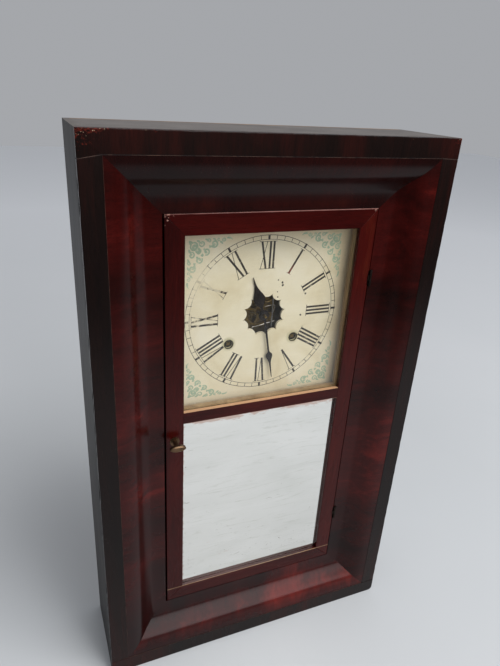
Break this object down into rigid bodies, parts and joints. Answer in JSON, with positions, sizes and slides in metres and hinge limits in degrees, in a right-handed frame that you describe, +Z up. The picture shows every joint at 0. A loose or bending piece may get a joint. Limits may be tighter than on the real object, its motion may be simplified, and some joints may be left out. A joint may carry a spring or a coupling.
{
  "type": "weight-driven wall clock",
  "caption": "Ogee-framed weight-driven wall and shelf clock: hinged door over dial and mirror, two-train strike movement, pendulum, gong, weights in side channels.",
  "frame": {"origin": "middle of the case's bottom face, at mid depth", "axes": "+Z up, +Y into the wall, +X to the right of someone facing the dial"},
  "size_m": [0.3938, 0.1084, 0.6604],
  "materials": {
    "mahogany_veneer": "gloss",
    "case_board": "satin",
    "pine_board": "matte",
    "dial_paint": "satin",
    "glass": "clear",
    "mirror": "polished",
    "brass": "satin",
    "dark_steel": "satin",
    "steel": "satin",
    "iron": "matte",
    "cord": "matte"
  },
  "bodies": {
    "case": {"case_side_left": "case_board", "case_side_right": "case_board", "case_top": "case_board", "case_bottom": "case_board", "backboard": "pine_board", "face_bands": "mahogany_veneer", "ogee_stiles": "mahogany_veneer", "ogee_rails": "mahogany_veneer", "weight_boards": "pine_board", "dial_panel": "dial_paint", "front_plate": "brass", "back_plate": "brass", "plate_pillars": "steel", "suspension_post": "steel", "gong_coil": "steel", "gong_base": "iron", "pulley_forks": "iron", "door_catch": "brass", "case_hinge_leaves": "dark_steel", "cord_runs": "cord", "time_cord_drop": "cord", "strike_cord_drop": "cord"},
    "door": {"door_stile_left": "mahogany_veneer", "door_stile_right": "mahogany_veneer", "door_top_rail": "mahogany_veneer", "door_mid_rail": "mahogany_veneer", "door_bottom_rail": "mahogany_veneer", "dial_glass": "glass", "mirror_glass": "mirror", "glass_beads": "pine_board", "door_hinge_leaves": "dark_steel", "latch_escutcheon": "brass"},
    "latch": {"latch_knob": "brass"},
    "minute_hand_and_cannon": {"minute_hand": "dark_steel", "cannon_pinion": "brass"},
    "hour_hand_and_wheel": {"hour_hand": "dark_steel", "hour_wheel": "brass"},
    "pendulum": {"pendulum_rod": "steel", "pendulum_bob": "brass"},
    "minute_wheel": {"minute_wheel": "brass"},
    "third_wheel": {"third_wheel": "brass"},
    "centre_wheel": {"centre_wheel": "brass"},
    "time_great_wheel": {"time_great_wheel": "brass"},
    "escape_wheel": {"escape_wheel": "brass"},
    "verge": {"verge": "steel"},
    "time_weight": {"time_weight": "iron"},
    "time_drum": {"time_drum": "brass"},
    "time_pulley": {"time_pulley": "iron"},
    "time_click": {"time_click": "steel"},
    "strike_weight": {"strike_weight": "iron"},
    "strike_drum": {"strike_drum": "brass"},
    "strike_pulley": {"strike_pulley": "iron"},
    "warning_wheel": {"warning_wheel": "brass"},
    "strike_pin_wheel": {"strike_pin_wheel": "brass"},
    "strike_great_wheel": {"strike_great_wheel": "brass"},
    "count_wheel": {"count_wheel": "brass"},
    "strike_fly": {"strike_fly": "brass"},
    "strike_click": {"strike_click": "steel"},
    "count_lever": {"count_lever": "steel"},
    "hammer": {"hammer": "steel"}
  },
  "joints": [
    {"name": "door_hinge", "type": "hinge", "parent": "case", "child": "door", "pos_m": [0.1226, -0.0326, 0.33], "axis": [0, 0, 1], "range_deg": [0, 120]},
    {"name": "latch_turn", "type": "hinge", "parent": "door", "child": "latch", "pos_m": [-0.109, 0, 0.326], "axis": [0, 1, 0], "range_deg": [0, 90]},
    {"name": "hand_setting", "type": "hinge", "parent": "case", "child": "minute_hand_and_cannon", "pos_m": [0, 0, 0.462], "axis": [0, 1, 0], "continuous": true},
    {"name": "hour_hand_turn", "type": "hinge", "parent": "case", "child": "hour_hand_and_wheel", "pos_m": [0, 0, 0.462], "axis": [0, 1, 0], "continuous": true},
    {"name": "minute_wheel_turn", "type": "hinge", "parent": "case", "child": "minute_wheel", "pos_m": [-0.01697, 0, 0.44503], "axis": [0, 1, 0], "continuous": true},
    {"name": "third_wheel_turn", "type": "hinge", "parent": "case", "child": "third_wheel", "pos_m": [0.01999, 0, 0.49097], "axis": [0, 1, 0], "continuous": true},
    {"name": "centre_wheel_turn", "type": "hinge", "parent": "case", "child": "centre_wheel", "pos_m": [0, 0, 0.462], "axis": [0, 1, 0], "continuous": true},
    {"name": "time_great_wheel_turn", "type": "hinge", "parent": "case", "child": "time_great_wheel", "pos_m": [0.0406, 0, 0.4298], "axis": [0, 1, 0], "continuous": true},
    {"name": "escape_wheel_turn", "type": "hinge", "parent": "case", "child": "escape_wheel", "pos_m": [0.01398, 0, 0.51832], "axis": [0, 1, 0], "continuous": true},
    {"name": "pendulum_swing", "type": "hinge", "parent": "case", "child": "pendulum", "pos_m": [0.01398, 0, 0.54237], "axis": [0, 1, 0], "range_deg": [-3, 3]},
    {"name": "verge_rock", "type": "hinge", "parent": "case", "child": "verge", "pos_m": [0.01398, 0, 0.54237], "axis": [0, 1, 0], "range_deg": [-3, 3]},
    {"name": "time_weight_lift", "type": "slide", "parent": "case", "child": "time_weight", "axis": [0, 0, 1], "range_m": [0, 0.41783], "deforming": ["time_cord_drop"]},
    {"name": "time_drum_turn", "type": "hinge", "parent": "case", "child": "time_drum", "pos_m": [0.0406, 0, 0.4298], "axis": [0, 1, 0], "range_deg": [0, 1710.5]},
    {"name": "time_pulley_turn", "type": "hinge", "parent": "case", "child": "time_pulley", "pos_m": [0.129, 0, 0.622], "axis": [0, 1, 0], "range_deg": [-1260.5, 0]},
    {"name": "time_click_drop", "type": "hinge", "parent": "time_great_wheel", "child": "time_click", "pos_m": [0.05546, 0, 0.44318], "axis": [0, 1, 0], "range_deg": [0, 3.5]},
    {"name": "strike_weight_lift", "type": "slide", "parent": "case", "child": "strike_weight", "axis": [0, 0, 1], "range_m": [0, 0.41783], "deforming": ["strike_cord_drop"]},
    {"name": "strike_drum_turn", "type": "hinge", "parent": "case", "child": "strike_drum", "pos_m": [-0.0406, 0, 0.4298], "axis": [0, 1, 0], "range_deg": [-1710.5, 0]},
    {"name": "strike_pulley_turn", "type": "hinge", "parent": "case", "child": "strike_pulley", "pos_m": [-0.129, 0, 0.622], "axis": [0, 1, 0], "range_deg": [0, 1260.5]},
    {"name": "warning_wheel_turn", "type": "hinge", "parent": "case", "child": "warning_wheel", "pos_m": [-0.02159, 0, 0.50636], "axis": [0, 1, 0], "continuous": true},
    {"name": "strike_pin_wheel_turn", "type": "hinge", "parent": "case", "child": "strike_pin_wheel", "pos_m": [-0.03599, 0, 0.48141], "axis": [0, 1, 0], "continuous": true},
    {"name": "strike_great_wheel_turn", "type": "hinge", "parent": "case", "child": "strike_great_wheel", "pos_m": [-0.0406, 0, 0.4298], "axis": [0, 1, 0], "continuous": true},
    {"name": "count_wheel_turn", "type": "hinge", "parent": "case", "child": "count_wheel", "pos_m": [-0.00442, 0, 0.49291], "axis": [0, 1, 0], "continuous": true},
    {"name": "strike_fly_turn", "type": "hinge", "parent": "case", "child": "strike_fly", "pos_m": [-0.03577, 0, 0.52325], "axis": [0, 1, 0], "continuous": true},
    {"name": "strike_click_drop", "type": "hinge", "parent": "strike_great_wheel", "child": "strike_click", "pos_m": [-0.05546, 0, 0.44318], "axis": [0, -1, 0], "range_deg": [0, 3.5]},
    {"name": "count_lever_lift", "type": "hinge", "parent": "case", "child": "count_lever", "pos_m": [-0.058, 0, 0.532], "axis": [0, -1, 0], "range_deg": [0, 8]},
    {"name": "hammer_draw", "type": "hinge", "parent": "case", "child": "hammer", "pos_m": [-0.006, 0, 0.394], "axis": [0, 1, 0], "range_deg": [0, 9]}
  ],
  "couplings": [
    {"joint": "hour_hand_turn", "follows": "hand_setting", "ratio": 0.083333},
    {"joint": "minute_wheel_turn", "follows": "hand_setting", "ratio": -0.33333},
    {"joint": "centre_wheel_turn", "follows": "third_wheel_turn", "ratio": -0.1},
    {"joint": "escape_wheel_turn", "follows": "third_wheel_turn", "ratio": -9},
    {"joint": "time_great_wheel_turn", "follows": "third_wheel_turn", "ratio": 0.016667},
    {"joint": "verge_rock", "follows": "pendulum_swing", "ratio": 1},
    {"joint": "time_drum_turn", "follows": "time_weight_lift", "rad_per_m": 71.429},
    {"joint": "time_pulley_turn", "follows": "time_weight_lift", "rad_per_m": -52.632},
    {"joint": "strike_drum_turn", "follows": "strike_weight_lift", "rad_per_m": -71.429},
    {"joint": "strike_pulley_turn", "follows": "strike_weight_lift", "rad_per_m": 52.632},
    {"joint": "strike_pin_wheel_turn", "follows": "warning_wheel_turn", "ratio": -0.125},
    {"joint": "strike_great_wheel_turn", "follows": "warning_wheel_turn", "ratio": 0.020833},
    {"joint": "count_wheel_turn", "follows": "warning_wheel_turn", "ratio": 0.0096154},
    {"joint": "strike_fly_turn", "follows": "warning_wheel_turn", "ratio": -8}
  ]
}
